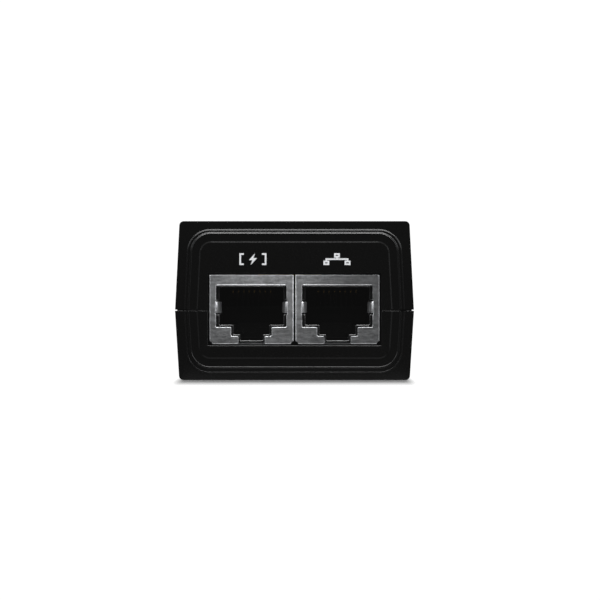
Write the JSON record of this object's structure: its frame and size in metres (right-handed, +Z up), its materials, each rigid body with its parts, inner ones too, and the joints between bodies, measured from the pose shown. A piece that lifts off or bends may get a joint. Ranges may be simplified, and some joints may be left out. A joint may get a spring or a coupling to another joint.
{
  "type": "poe injector",
  "caption": "Compact mains-powered power-over-Ethernet injector: black two-shell case with shielded network jacks side by side at one end and a mains inlet at the other.",
  "frame": {"origin": "centre of the underside of the case", "axes": "+Z up, network jacks facing -Y, mains inlet facing +Y, +X to the right as the jacks are seen"},
  "size_m": [0.045, 0.086, 0.03],
  "materials": {
    "case_plastic": "fine satin moulded black",
    "shield_metal": "satin nickel-plated sheet",
    "spring_metal": "bright plated sheet",
    "jack_plastic": "satin black",
    "carrier_plastic": "satin black",
    "gold_contact": "gold plated",
    "board_laminate": "green solder mask",
    "inlet_plastic": "satin black",
    "plated_brass": "nickel plated",
    "live_wire": "brown insulation",
    "neutral_wire": "blue insulation",
    "earth_wire": "green insulation",
    "ferrite": "ground grey-black",
    "copper_winding": "enamelled copper wire",
    "winding_tape": "yellow polyester tape",
    "film_capacitor": "yellow box",
    "capacitor_sleeve": "dark sleeve",
    "blue_ceramic": "dipped blue",
    "green_ceramic": "dipped dark green",
    "chip_epoxy": "moulded epoxy",
    "heat_sink_aluminium": "rolled",
    "led_body": "clear lens",
    "light_pipe": "clear acrylic",
    "label_film": "plain silver film"
  },
  "bodies": {
    "case": {"upper_case": "case_plastic", "lower_case": "case_plastic", "rating_label": "label_film", "circuit_board": "board_laminate", "poe_jack_shield": "shield_metal", "poe_jack_housing": "jack_plastic", "poe_contact_carrier": "carrier_plastic", "lan_jack_shield": "shield_metal", "lan_jack_housing": "jack_plastic", "lan_contact_carrier": "carrier_plastic", "ac_inlet_housing": "inlet_plastic", "line_pin": "plated_brass", "neutral_pin": "plated_brass", "earth_pin": "plated_brass", "line_wire": "live_wire", "neutral_wire": "neutral_wire", "earth_wire": "earth_wire", "line_choke_core": "ferrite", "line_choke_winding_left": "copper_winding", "line_choke_winding_right": "copper_winding", "transformer_bobbin_base": "carrier_plastic", "transformer_core": "ferrite", "transformer_winding": "winding_tape", "heat_sink": "heat_sink_aluminium", "switching_transistor": "chip_epoxy", "x_capacitor": "film_capacitor", "fuse": "chip_epoxy", "inrush_thermistor": "green_ceramic", "surge_varistor": "blue_ceramic", "bridge_rectifier": "chip_epoxy", "input_capacitor": "capacitor_sleeve", "optocoupler": "chip_epoxy", "y_capacitor": "blue_ceramic", "output_capacitor_1": "capacitor_sleeve", "output_capacitor_2": "capacitor_sleeve", "output_choke": "ferrite", "output_diode": "chip_epoxy", "controller_chip": "chip_epoxy", "power_led": "led_body", "power_led_light_pipe": "light_pipe"},
    "poe_contacts": {"poe_contact_1": "gold_contact", "poe_contact_2": "gold_contact", "poe_contact_3": "gold_contact", "poe_contact_4": "gold_contact", "poe_contact_5": "gold_contact", "poe_contact_6": "gold_contact", "poe_contact_7": "gold_contact", "poe_contact_8": "gold_contact"},
    "poe_left_spring": {"poe_side_spring_left": "spring_metal"},
    "poe_right_spring": {"poe_side_spring_right": "spring_metal"},
    "lan_contacts": {"lan_contact_1": "gold_contact", "lan_contact_2": "gold_contact", "lan_contact_3": "gold_contact", "lan_contact_4": "gold_contact", "lan_contact_5": "gold_contact", "lan_contact_6": "gold_contact", "lan_contact_7": "gold_contact", "lan_contact_8": "gold_contact"},
    "lan_left_spring": {"lan_side_spring_left": "spring_metal"},
    "lan_right_spring": {"lan_side_spring_right": "spring_metal"}
  },
  "joints": [
    {"name": "poe_contacts_flex", "type": "hinge", "parent": "case", "child": "poe_contacts", "pos_m": [-0.00811, -0.0402, 0.01695], "axis": [1, 0, 0], "range_deg": [0, 12], "stiffness_Nm_per_rad": 0.01},
    {"name": "poe_left_spring_flex", "type": "hinge", "parent": "case", "child": "poe_left_spring", "pos_m": [-0.01436, -0.0425, 0.01372], "axis": [0, 0, 1], "range_deg": [0, 6], "stiffness_Nm_per_rad": 0.01},
    {"name": "poe_right_spring_flex", "type": "hinge", "parent": "case", "child": "poe_right_spring", "pos_m": [-0.00186, -0.0425, 0.01372], "axis": [0, 0, -1], "range_deg": [0, 6], "stiffness_Nm_per_rad": 0.01},
    {"name": "lan_contacts_flex", "type": "hinge", "parent": "case", "child": "lan_contacts", "pos_m": [0.00811, -0.0402, 0.01695], "axis": [1, 0, 0], "range_deg": [0, 12], "stiffness_Nm_per_rad": 0.01},
    {"name": "lan_left_spring_flex", "type": "hinge", "parent": "case", "child": "lan_left_spring", "pos_m": [0.00186, -0.0425, 0.01372], "axis": [0, 0, 1], "range_deg": [0, 6], "stiffness_Nm_per_rad": 0.01},
    {"name": "lan_right_spring_flex", "type": "hinge", "parent": "case", "child": "lan_right_spring", "pos_m": [0.01436, -0.0425, 0.01372], "axis": [0, 0, -1], "range_deg": [0, 6], "stiffness_Nm_per_rad": 0.01}
  ]
}
